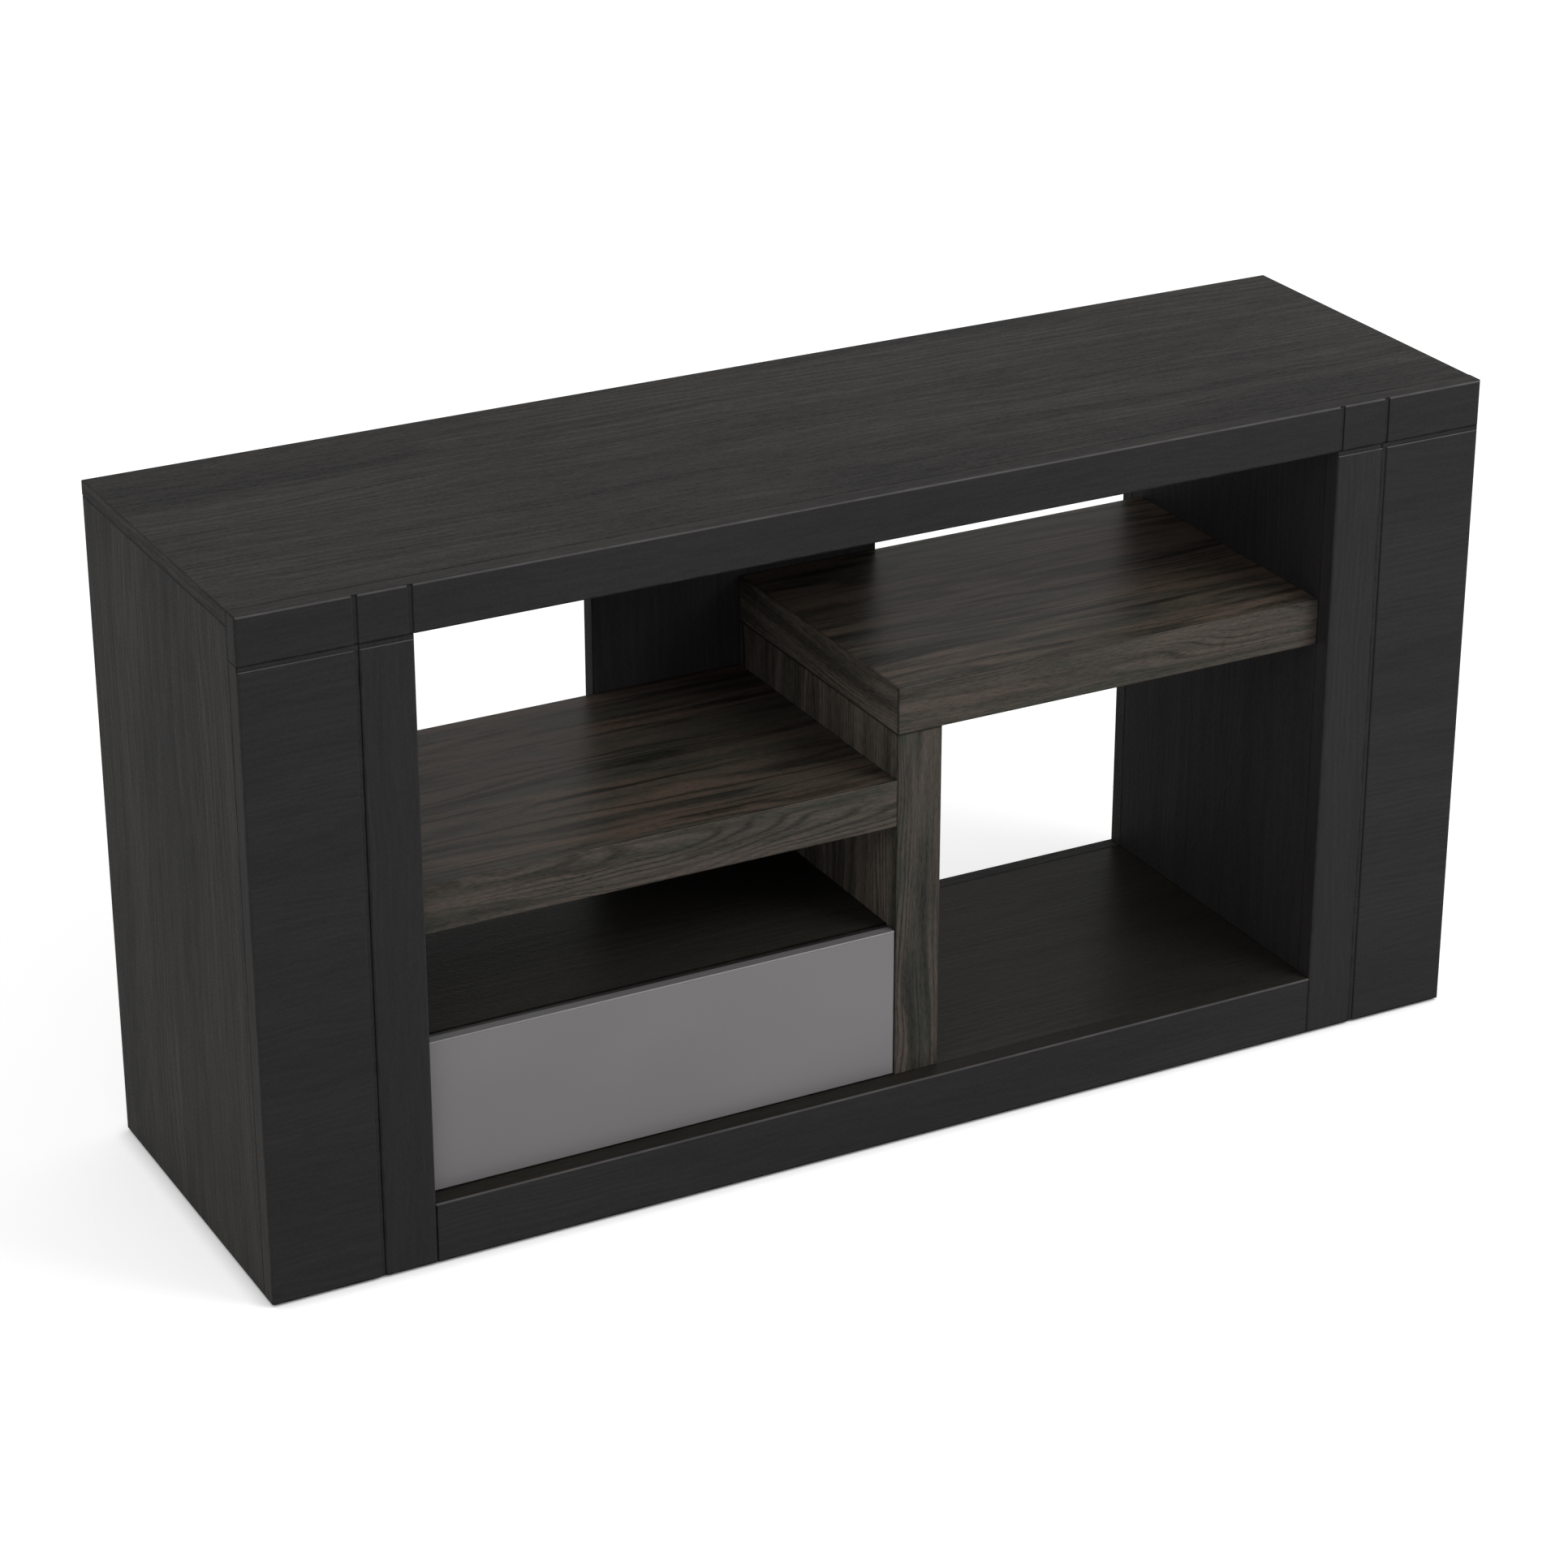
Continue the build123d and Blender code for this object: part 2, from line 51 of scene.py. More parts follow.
def add(tree, kind, inputs, **settings):
    """A shader node with its settings made and its inputs set to values or joined to sockets."""
    made = tree.nodes.new("ShaderNode" + kind)
    for name, value in settings.items():
        setattr(made, name, value)
    for key, value in inputs.items():
        if isinstance(value, bpy.types.NodeSocket):
            tree.links.new(value, made.inputs[key])
        else:
            made.inputs[key].default_value = value
    return made


def reckon(tree, operation, *values):
    """The result of one sum on numbers."""
    return add(tree, "Math", dict(enumerate(values)), operation=operation).outputs[0]


def reckon_vector(tree, operation, *values):
    """The result of one sum on vectors."""
    return add(tree, "VectorMath", dict(enumerate(values)), operation=operation).outputs[0]


def vary(tree, value, base, change):
    """A number that leaves its base by the change as the value goes from 0 to 1."""
    return reckon(tree, "MULTIPLY_ADD", value, change, base)


def spread(tree, value, low, high, bottom=0.0, top=1.0):
    """A value stretched from one range to another with soft ends."""
    inputs = {"Value": value, "From Min": low, "From Max": high, "To Min": bottom, "To Max": top}
    return add(tree, "MapRange", inputs, interpolation_type="SMOOTHSTEP").outputs[0]


def tint(tree, share, first, second):
    """The first colour turning into the second by a share. Plain colours are as read off a screen."""
    colours = [screen_colour(*each) if isinstance(each, tuple) else each for each in (first, second)]
    return add(tree, "Mix", {0: share, 6: colours[0], 7: colours[1]}, data_type="RGBA").outputs[2]


def noise(tree, vector, per_metre, detail, roughness=0.5):
    """Smooth noise with so many features to the metre along each axis, as a value and as a colour."""
    stretched = reckon_vector(tree, "MULTIPLY", vector, per_metre)
    inputs = {"Vector": stretched, "Scale": 1.0, "Detail": detail, "Roughness": roughness}
    return add(tree, "TexNoise", inputs).outputs


def cloud(tree, vector, per_metre, detail, roughness=0.5):
    """The value of smooth noise."""
    return noise(tree, vector, per_metre, detail, roughness)[0]


def blotches(tree, vector, per_metre, detail, low, high, roughness=0.5):
    """Smooth noise with more contrast: 0 up to its low level and 1 from its high level."""
    return spread(tree, cloud(tree, vector, per_metre, detail, roughness), low, high)


def sway(tree, vector, per_metre, detail, reach):
    """A push across the grain by slow noise, so that straight grain wanders."""
    push = noise(tree, vector, per_metre, detail)["Color"]
    push = reckon_vector(tree, "SUBTRACT", push, (0.5, 0.5, 0.5))
    return reckon_vector(tree, "MULTIPLY", push, (0, reach, reach))


def effect(name, inputs, outputs):
    """An empty shader node group with named inputs and outputs."""
    tree = bpy.data.node_groups.new(name, "ShaderNodeTree")
    for socket, kind in inputs.items():
        tree.interface.new_socket(socket, in_out="INPUT", socket_type="NodeSocket" + kind)
    for socket, kind in outputs.items():
        tree.interface.new_socket(socket, in_out="OUTPUT", socket_type="NodeSocket" + kind)
    return tree, tree.nodes.new("NodeGroupInput").outputs, tree.nodes.new("NodeGroupOutput").inputs


LINE_WIDTH = 0.34
CONTOURS_PER_METRE = (1.3, 20, 20)


def growth_lines(tree, vector, per_metre, contours):
    """Lines along the grain at an even pitch, bent into arcs by contours of slow noise."""
    parts = add(tree, "SeparateXYZ", {0: vector}).outputs
    across = reckon(tree, "MULTIPLY", reckon(tree, "ADD", parts[1], parts[2]), per_metre)
    bent = reckon(tree, "MULTIPLY", cloud(tree, vector, CONTOURS_PER_METRE, detail=1.5), contours)
    phase = reckon(tree, "FRACT", reckon(tree, "ADD", across, bent))
    distance = reckon(tree, "ABSOLUTE", reckon(tree, "SUBTRACT", phase, 0.5))
    return spread(tree, distance, low=0.0, high=LINE_WIDTH, bottom=1.0, top=0.0)


GRAIN_SWAY = 0.03
GRAIN_CONTOURS = 5.0
GRAIN_SLANT = 0.4
LINE_SHARE = 0.24
PATCH_SHARE = 0.1
BAND_SHARE = 0.2
FLECK_SHARE = 0.24
EMBOSS_SHARE = 0.24
fine_grain, given, result = effect(
    "Fine grain",
    {"Along grain": "Vector", "Lines per metre": "Float"},
    {"Tone": "Float", "Emboss": "Float"},
)
along = given["Along grain"]
push = sway(fine_grain, along, (3.5, 12, 12), detail=1.5, reach=GRAIN_SWAY)
swayed = reckon_vector(fine_grain, "ADD", along, push)
lines = growth_lines(fine_grain, swayed, given["Lines per metre"], GRAIN_CONTOURS)
patches = blotches(fine_grain, swayed, (2.6, 9, 9), detail=2.5, low=0.36, high=0.64)
bands = blotches(fine_grain, swayed, (1.4, 42, 42), detail=3, low=0.34, high=0.66, roughness=0.6)
flecks = blotches(fine_grain, swayed, (22, 300, 300), detail=3, low=0.36, high=0.64, roughness=0.7)
slanted = add(fine_grain, "Mapping", {"Vector": along, "Rotation": (0, 0, GRAIN_SLANT)}).outputs[0]
emboss = cloud(fine_grain, slanted, (260, 620, 620), detail=1.5)
pressed = spread(fine_grain, emboss, low=0.35, high=0.65)
tone = reckon(fine_grain, "MULTIPLY", reckon(fine_grain, "MULTIPLY", lines, patches), LINE_SHARE)
tone = vary(fine_grain, patches, tone, PATCH_SHARE)
tone = vary(fine_grain, bands, tone, BAND_SHARE)
tone = vary(fine_grain, flecks, tone, FLECK_SHARE)
tone = vary(fine_grain, pressed, tone, EMBOSS_SHARE)
fine_grain.links.new(tone, result["Tone"])
fine_grain.links.new(emboss, result["Emboss"])

board_edge, given, result = effect(
    "Board edge",
    {
        "Position": "Vector",
        "Normal": "Vector",
        "Low corner": "Vector",
        "High corner": "Vector",
        "Reach": "Float",
    },
    {"Edge": "Float"},
)
from_low = reckon_vector(board_edge, "SUBTRACT", given["Position"], given["Low corner"])
from_high = reckon_vector(board_edge, "SUBTRACT", given["High corner"], given["Position"])
depth = reckon_vector(board_edge, "MINIMUM", from_low, from_high)
facing = reckon_vector(board_edge, "ABSOLUTE", given["Normal"])
facing = reckon_vector(board_edge, "FLOOR", reckon_vector(board_edge, "ADD", facing, (0.5, 0.5, 0.5)))
depth = add(board_edge, "SeparateXYZ", {0: reckon_vector(board_edge, "ADD", depth, facing)}).outputs
edge_distance = reckon(board_edge, "MINIMUM", depth[0], depth[1])
edge_distance = reckon(board_edge, "MINIMUM", edge_distance, depth[2])
rubbing = cloud(board_edge, given["Position"], (60, 60, 60), detail=3)
rubbing = spread(board_edge, rubbing, low=0.3, high=0.7, bottom=0.7, top=1.3)
reach = reckon(board_edge, "MULTIPLY", given["Reach"], rubbing)
worn = reckon(board_edge, "DIVIDE", edge_distance, reach)
worn = spread(board_edge, worn, low=0.2, high=1.0, bottom=1.0, top=0.0)
board_edge.links.new(worn, result["Edge"])

GRAIN_TURN = {"x": (0, 0, 0), "y": (0, 0, -math.pi / 2), "z": (0, math.pi / 2, 0)}
SEED_SHIFT = (0.83, 0.37, 0.29)
EDGE_REACH = 0.0018
BOARD_RELIEF = 0.0004


def start_finish(name):
    """A new material, its tree and the coordinates of the part."""
    material = bpy.data.materials.new(name)
    material.use_nodes = True
    return material, material.node_tree, add(material.node_tree, "TexCoord", {}).outputs


def start_board(node, finish, grain, seed):
    """A material for one board: its tree, its coordinates, its place along the grain and a mask of its rims.

    The end faces are edged with a band whose grain follows their longer side.
    """
    material, tree, place = start_finish(f"{node}_{finish}")
    low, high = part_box(node)
    length = dict(zip("xyz", high - low))
    edging = max("xyz".replace(grain, ""), key=length.get)
    shift = {"Vector": place["Object"], "Location": [seed * step for step in SEED_SHIFT]}
    faces = add(tree, "Mapping", shift | {"Rotation": GRAIN_TURN[grain]}).outputs[0]
    ends = add(tree, "Mapping", shift | {"Rotation": GRAIN_TURN[edging]}).outputs[0]
    facing = dict(zip("xyz", add(tree, "SeparateXYZ", {0: place["Normal"]}).outputs))
    at_end = spread(tree, reckon(tree, "ABSOLUTE", facing[grain]), low=0.4, high=0.6)
    along = add(tree, "Mix", {0: at_end, 4: faces, 5: ends}, data_type="VECTOR").outputs[1]
    corners = {"Position": place["Object"], "Normal": place["Normal"], "Reach": EDGE_REACH}
    corners |= {"Low corner": low, "High corner": high}
    edge = add(tree, "Group", corners, node_tree=board_edge).outputs["Edge"]
    return material, tree, place, along, edge


def finish_surface(tree, colour, roughness, relief=None, plain_values=None):
    """Joins colour, roughness and relief to the material's shader, and sets what is the same all over."""
    shader = tree.nodes["Principled BSDF"]
    tree.links.new(colour, shader.inputs["Base Color"])
    tree.links.new(roughness, shader.inputs["Roughness"])
    if relief:
        tree.links.new(add(tree, "Bump", relief).outputs[0], shader.inputs["Normal"])
    for socket, value in (plain_values or {}).items():
        shader.inputs[socket].default_value = value


def dress(node, material):
    """Puts a material on one node of the part."""
    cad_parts[node].material_slots[0].material = material


def finish_board(node, material, colour, roughness, height, strength, gloss):
    """Finishes a board's material and puts it on the board."""
    relief = {"Height": height, "Strength": strength, "Distance": BOARD_RELIEF}
    finish_surface(material.node_tree, colour, roughness, relief, {"Specular IOR Level": gloss})
    dress(node, material)


BLACK_SHADE = (39, 37, 39)
BLACK_LIGHT = (64, 63, 59)
SEAM_TONE = (11, 11, 11)
SEAM_STRENGTH = 0.85
LAMINATE_LINES = 90


def laminate(
    node, grain, seed, shade=BLACK_SHADE, light=BLACK_LIGHT, dullness=0.65, gloss=0.03, seam=SEAM_STRENGTH
):
    """Printed and embossed wood-grain laminate on one board, its joints and rims darker."""
    material, tree, place, along, edge = start_board(node, "laminate", grain, seed)
    inputs = {"Along grain": along, "Lines per metre": LAMINATE_LINES}
    grained = add(tree, "Group", inputs, node_tree=fine_grain).outputs
    colour = tint(tree, grained["Tone"], shade, light)
    colour = tint(tree, reckon(tree, "MULTIPLY", edge, seam), colour, SEAM_TONE)
    roughness = vary(tree, grained["Tone"], base=dullness, change=-0.1)
    height = vary(tree, grained["Emboss"], base=grained["Tone"], change=0.8)
    finish_board(node, material, colour, roughness, height, strength=0.3, gloss=gloss)


# The top's tones are a darker copy of the black laminate: painted shade on the upward face.
TOP_PAINTED_SHADE_DARK = (32, 30, 33)
TOP_PAINTED_SHADE_PALE = (63, 62, 58)
laminate("top_panel", "x", 1, TOP_PAINTED_SHADE_DARK, TOP_PAINTED_SHADE_PALE, seam=0.5)


# Front frame: fascia, pillar fronts, stiles and plinth rail are 20 mm boards, tongued onto the carcass.
# Their faces carry a smooth charcoal foil, their sides the laminate next to them, upper edges a painted
# highlight.
# Painted highlight: where a face turns from the front towards the top, and faintly towards the sides, its
# colour is lightened.
SIDE_HIGHLIGHT = 0.12
painted_edge_highlight, given, result = effect(
    "Painted edge highlight", {"Position": "Vector", "Normal": "Vector"}, {"Edge": "Float"}
)
facing = add(painted_edge_highlight, "SeparateXYZ", {0: given["Normal"]}).outputs
forward = reckon(painted_edge_highlight, "MAXIMUM", reckon(painted_edge_highlight, "MULTIPLY", facing[1], -1.0), 0.0)
upward = reckon(painted_edge_highlight, "MULTIPLY", reckon(painted_edge_highlight, "MAXIMUM", facing[2], 0.0), forward)
sideways = reckon(painted_edge_highlight, "MULTIPLY", reckon(painted_edge_highlight, "ABSOLUTE", facing[0]), forward)
sideways = spread(painted_edge_highlight, sideways, low=0.1, high=0.5, bottom=0.0, top=SIDE_HIGHLIGHT)
highlighted = reckon(painted_edge_highlight, "ADD", sideways, spread(painted_edge_highlight, upward, low=0.2, high=0.5))
uneven = cloud(painted_edge_highlight, given["Position"], (35, 35, 35), detail=2)
uneven = spread(painted_edge_highlight, uneven, low=0.3, high=0.7, bottom=0.65, top=1.0)
painted_edge_highlight.links.new(reckon(painted_edge_highlight, "MULTIPLY", highlighted, uneven), result["Edge"])


def paint_highlight(tree, place, colour, highlight_tone):
    """A colour that turns lighter on upper front edges, as a painted highlight."""
    inputs = {"Position": place["Object"], "Normal": place["Normal"]}
    highlighted = add(tree, "Group", inputs, node_tree=painted_edge_highlight).outputs["Edge"]
    return tint(tree, highlighted, colour, highlight_tone)


CHARCOAL_SHADE = (39, 38, 39)
CHARCOAL_LIGHT = (50, 49, 49)
CHARCOAL_HIGHLIGHT = (80, 78, 79)
INSIDE_SHADE = (38, 36, 38)
INSIDE_LIGHT = (51, 49, 49)
FLAT_SHADE = (32, 30, 29)
FLAT_LIGHT = (44, 43, 38)
FOIL_LINES = 140


def front_foil(node, grain, seed, side_shade=BLACK_SHADE, side_light=BLACK_LIGHT):
    """Charcoal foil on a front board's face, laminate on its sides and a painted highlight on its upper edge.
    """
    material, tree, place, along, edge = start_board(node, "foil", grain, seed)
    inputs = {"Along grain": along, "Lines per metre": FOIL_LINES}
    grained = add(tree, "Group", inputs, node_tree=fine_grain).outputs
    normal = add(tree, "SeparateXYZ", {0: place["Normal"]}).outputs
    face = spread(tree, normal[1], low=-0.8, high=-0.5, bottom=1.0, top=0.0)
    sides = tint(tree, grained["Tone"], side_shade, side_light)
    foil = tint(tree, grained["Tone"], CHARCOAL_SHADE, CHARCOAL_LIGHT)
    colour = tint(tree, face, sides, foil)
    colour = tint(tree, reckon(tree, "MULTIPLY", edge, SEAM_STRENGTH), colour, SEAM_TONE)
    colour = paint_highlight(tree, place, colour, CHARCOAL_HIGHLIGHT)
    roughness = vary(tree, grained["Emboss"], base=0.52, change=0.1)
    finish_board(node, material, colour, roughness, grained["Emboss"], strength=0.12, gloss=0.03)


# The fascia's faces other than its front share the top's darker tones, painted shade as on the top.
front_foil("top_fascia", "x", 10, TOP_PAINTED_SHADE_DARK, TOP_PAINTED_SHADE_PALE)
front_foil("left_pillar_front", "x", 11)
front_foil("right_pillar_front", "x", 12)
front_foil("left_pillar_stile", "z", 13, INSIDE_SHADE, INSIDE_LIGHT)
front_foil("right_pillar_stile", "z", 14, INSIDE_SHADE, INSIDE_LIGHT)
front_foil("front_rail", "x", 15, FLAT_SHADE, FLAT_LIGHT)


# Carcass boards behind the frame: 15 mm side panels, and 18 mm pillar backs and back rail.
# They carry black laminate like the top's, upright on the panels, and screws hold the backs and the rail.
carcass_boards = {
    "left_side_panel": "z",
    "left_pillar_back": "z",
    "right_side_panel": "z",
    "right_pillar_back": "z",
    "back_rail": "x",
}
for seed, (node, grain) in enumerate(carcass_boards.items(), 20):
    laminate(node, grain, seed)


# Inside boards: the walls of the open bay, the centre back panel, the base and the shelf over the drawer.
# Their laminate is darker and quieter than outside, and the two that lie flat have a satin sheen.
for seed, node in enumerate(("left_inner_panel", "right_inner_panel", "centre_back_panel"), 29):
    laminate(node, "z", seed, INSIDE_SHADE, INSIDE_LIGHT)
for seed, node in enumerate(("base_panel", "drawer_cover_shelf"), 27):
    laminate(node, "x", seed, FLAT_SHADE, FLAT_LIGHT, dullness=0.4, gloss=0.022)


# Walnut shelves and divider: 8 mm skins and thin edge bands of dark walnut veneer on a frame of battens.
# Shelf grain runs along the table, the divider's runs up, and the band on the shelf end runs to the back.
WALNUT_SWAYS = (((2.0, 8, 8), 0.034), ((7, 28, 28), 0.012))
STREAKS_ALONG = 4.0
BANDS_ALONG = 3.5
FIBRE_SHARE = 0.42
PORE_DARKNESS = 0.28
walnut_figure, given, result = effect(
    "Walnut figure",
    {
        "Along grain": "Vector",
        "Lines per metre": "Float",
        "Contours": "Float",
        "Streaks per metre": "Float",
        "Bands per metre": "Float",
        "Line strength": "Float",
        "Streak strength": "Float",
        "Light": "Color",
        "Shade": "Color",
        "Line": "Color",
    },
    {"Color": "Color", "Height": "Float", "Fibre": "Float"},
)
swayed = given["Along grain"]
for per_metre, reach in WALNUT_SWAYS:
    push = sway(walnut_figure, given["Along grain"], per_metre, detail=1.0, reach=reach)
    swayed = reckon_vector(walnut_figure, "ADD", swayed, push)
line = growth_lines(walnut_figure, swayed, given["Lines per metre"], given["Contours"])
patches = blotches(walnut_figure, swayed, (3.0, 26, 26), detail=1.5, low=0.34, high=0.6)
line = reckon(walnut_figure, "MULTIPLY", line, patches)
across = given["Streaks per metre"]
pitch = add(walnut_figure, "CombineXYZ", {0: STREAKS_ALONG, 1: across, 2: across}).outputs[0]
streak = blotches(walnut_figure, swayed, pitch, detail=3, low=0.44, high=0.7, roughness=0.6)
across = given["Bands per metre"]
pitch = add(walnut_figure, "CombineXYZ", {0: BANDS_ALONG, 1: across, 2: across}).outputs[0]
bands = blotches(walnut_figure, swayed, pitch, detail=3, low=0.36, high=0.62, roughness=0.6)
fibre = cloud(walnut_figure, swayed, (90, 600, 600), detail=3, roughness=0.65)
pores = blotches(walnut_figure, swayed, (130, 1000, 1000), detail=1, low=0.52, high=0.66)
tone = reckon(walnut_figure, "MULTIPLY", spread(walnut_figure, fibre, low=0.3, high=0.7), FIBRE_SHARE)
tone = vary(walnut_figure, bands, tone, 1 - FIBRE_SHARE)
colour = tint(walnut_figure, tone, given["Shade"], given["Light"])
dark = reckon(walnut_figure, "MULTIPLY", streak, given["Streak strength"])
line = reckon(walnut_figure, "MULTIPLY", line, given["Line strength"])
dark = reckon(walnut_figure, "MAXIMUM", dark, line)
dark = vary(walnut_figure, pores, dark, PORE_DARKNESS)
colour = tint(walnut_figure, dark, colour, given["Line"])
walnut_figure.links.new(colour, result["Color"])
walnut_figure.links.new(reckon(walnut_figure, "SUBTRACT", fibre, dark), result["Height"])
walnut_figure.links.new(fibre, result["Fibre"])

WALNUT_LIGHT = (83, 74, 69)
WALNUT_SKIN = {"left": (90, 75, 66), "upper": (98, 84, 74)}
# A paler walnut tone, painted light for faces that sit in shade.
WALNUT_PAINTED_FILL = (116, 106, 97)
WALNUT_SHADE = (52, 55, 49)
WALNUT_LINE = (27, 28, 25)
WALNUT_SEAM = 0.7
SKIN_FIGURE = {
    "Lines per metre": 60,
    "Contours": 11,
    "Streaks per metre": 75,
    "Bands per metre": 28,
    "Line strength": 0.65,
    "Streak strength": 0.9,
}
BAND_FIGURE = {
    "Lines per metre": 190,
    "Contours": 16,
    "Streaks per metre": 110,
    "Bands per metre": 55,
    "Line strength": 0.6,
    "Streak strength": 0.5,
}
PLAIN_FIGURE = BAND_FIGURE | {"Streak strength": 0.3}
BOLD_FIGURE = BAND_FIGURE | {"Streak strength": 0.65}


def walnut(node, grain, seed, light, figure):
    """Satin-lacquered walnut veneer on one board."""
    material, tree, place, along, edge = start_board(node, "walnut", grain, seed)
    tones = {"Light": light, "Shade": WALNUT_SHADE, "Line": WALNUT_LINE}
    inputs = {name: screen_colour(*tone) for name, tone in tones.items()}
    veneer = add(tree, "Group", inputs | figure | {"Along grain": along}, node_tree=walnut_figure).outputs
    colour = tint(tree, reckon(tree, "MULTIPLY", edge, WALNUT_SEAM), veneer["Color"], WALNUT_LINE)
    roughness = vary(tree, veneer["Fibre"], base=0.3, change=0.12)
    finish_board(node, material, colour, roughness, veneer["Height"], strength=0.12, gloss=0.04)


skins = [(shelf, side) for shelf in WALNUT_SKIN for side in ("top", "bottom")]
for seed, (shelf, side) in enumerate(skins, 40):
    walnut(f"{shelf}_shelf_{side}_skin", "x", seed, WALNUT_SKIN[shelf], SKIN_FIGURE)
walnut("left_shelf_edge_bands", "x", 50, WALNUT_LIGHT, BAND_FIGURE)
walnut("upper_shelf_edge_bands", "x", 51, WALNUT_LIGHT, BAND_FIGURE)
# The end band and the divider's left skin take the paler tone as painted light. The divider's right skin
# keeps the normal one.
walnut("upper_shelf_end_band", "y", 52, WALNUT_PAINTED_FILL, PLAIN_FIGURE)
walnut("divider_left_skin", "z", 53, WALNUT_PAINTED_FILL, BAND_FIGURE)
walnut("divider_right_skin", "z", 54, WALNUT_LIGHT, BAND_FIGURE)
walnut("divider_edge_bands", "z", 55, WALNUT_LIGHT, BOLD_FIGURE)


# Shelf and divider cores: frames of battens cut from raw chipboard, pressed from pale wood chips.
# They are glued between the skins, and the edge bands hide them.
CHIP_DARK = (150, 120, 84)
CHIP_PALE = (206, 178, 134)
CHIPS_PER_METRE = 260.0
for node in ("left_shelf_core", "upper_shelf_core", "divider_core"):
    material, tree, place = start_finish(f"{node}_chipboard")
    chips = add(tree, "TexVoronoi", {"Vector": place["Object"], "Scale": CHIPS_PER_METRE}).outputs
    tone = add(tree, "SeparateColor", {0: chips["Color"]}).outputs[0]
    colour = tint(tree, tone, CHIP_DARK, CHIP_PALE)
    relief = {"Height": chips["Distance"], "Strength": 0.4, "Distance": 0.001}
    finish_surface(tree, colour, vary(tree, tone, base=0.75, change=0.15), relief)
    dress(node, material)


# Drawer front: an 11 mm board in satin mid-grey lacquer on a thin black backing, pushed to open.
# The lacquer has a faint orange-peel skin, a slow drift in tone and a painted highlight on its upper edge.
LACQUER_TONE = (115, 113, 114)
LACQUER_DRIFT = (121, 119, 120)
LACQUER_PAINTED_SHADE_EDGE = (101, 99, 100)
LACQUER_HIGHLIGHT = (133, 132, 132)
BACKING_AND_SHADE_TONE = (40, 39, 40)
LACQUER_SEAM = 0.3
LACQUERED_DEPTH = 0.0108
material, tree, place, along, edge = start_board("drawer_front", "lacquer", "x", 60)
drift = blotches(tree, along, (3, 3, 5), detail=2, low=0.3, high=0.7)
peel = cloud(tree, along, (420, 420, 420), detail=2)
colour = tint(tree, drift, LACQUER_TONE, LACQUER_DRIFT)
# Its top, ends and underside take a darker tone than its face: painted shade, for the top edge lying under
# the shelf.
normal = add(tree, "SeparateXYZ", {0: place["Normal"]}).outputs
face = spread(tree, normal[1], low=-0.6, high=-0.4, bottom=1.0, top=0.0)
colour = tint(tree, face, LACQUER_PAINTED_SHADE_EDGE, colour)
colour = tint(tree, reckon(tree, "MULTIPLY", edge, LACQUER_SEAM), colour, SEAM_TONE)
# Painted highlight on the drawer front's upper front edge.
colour = paint_highlight(tree, place, colour, LACQUER_HIGHLIGHT)
# Dark backing tone behind the lacquered depth: the real back face, and on the top edge a strip of painted
# shade.
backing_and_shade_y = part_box("drawer_front")[0].y + LACQUERED_DEPTH
depth = add(tree, "SeparateXYZ", {0: place["Object"]}).outputs[1]
colour = tint(tree, reckon(tree, "GREATER_THAN", depth, backing_and_shade_y), colour, BACKING_AND_SHADE_TONE)
roughness = vary(tree, drift, base=0.34, change=0.06)
finish_board("drawer_front", material, colour, roughness, peel, strength=0.05, gloss=0.2)


# Drawer box: 12 mm boards in dark grey foil round a hardboard bottom that slides in grooves.
# The sides run front to back and are tongued into the drawer front.
BOX_SHADE = (62, 61, 62)
BOX_LIGHT = (74, 73, 72)
BOTTOM_SHADE = (58, 56, 55)
BOTTOM_LIGHT = (68, 66, 63)
box_boards = {"drawer_left_side": "y", "drawer_right_side": "y", "drawer_back": "x"}
for seed, (node, grain) in enumerate(box_boards.items(), 70):
    laminate(node, grain, seed, BOX_SHADE, BOX_LIGHT)
laminate("drawer_bottom", "x", 75, BOTTOM_SHADE, BOTTOM_LIGHT)


# Drawer slides: zinc-plated channels rolled from 1.2 mm sheet, with drawing lines along their length.
# Their black ball cages and the push catches behind them are moulded plastic.
ZINC_DULL = (176, 178, 182)
ZINC_BRIGHT = (204, 205, 206)
zinc, tree, place = start_finish("zinc_plate")
drawn = cloud(tree, place["Object"], (900, 8, 900), detail=2)
bloom = blotches(tree, place["Object"], (40, 25, 40), detail=3, low=0.3, high=0.7)
colour = tint(tree, bloom, ZINC_DULL, ZINC_BRIGHT)
relief = {"Height": drawn, "Strength": 0.12, "Distance": 0.0002}
finish_surface(tree, colour, vary(tree, drawn, base=0.2, change=0.2), relief, {"Metallic": 1.0})

PLASTIC_DEEP = (34, 34, 35)
PLASTIC_FLOW = (44, 44, 45)
black_plastic, tree, place = start_finish("black_plastic")
spark = cloud(tree, place["Object"], (1800, 1800, 1800), detail=2)
flow = blotches(tree, place["Object"], (90, 40, 90), detail=2, low=0.3, high=0.7)
colour = tint(tree, flow, PLASTIC_DEEP, PLASTIC_FLOW)
relief = {"Height": spark, "Strength": 0.2, "Distance": 0.0002}
roughness = vary(tree, spark, base=0.4, change=0.2)
finish_surface(tree, colour, roughness, relief, {"Specular IOR Level": 0.3})

for side in ("left", "right"):
    for member in ("cabinet", "middle", "drawer"):
        dress(f"{side}_slide_{member}_member", zinc)
    for cage in ("outer", "inner"):
        dress(f"{side}_slide_{cage}_cage", black_plastic)
    dress(f"{side}_push_catch", black_plastic)


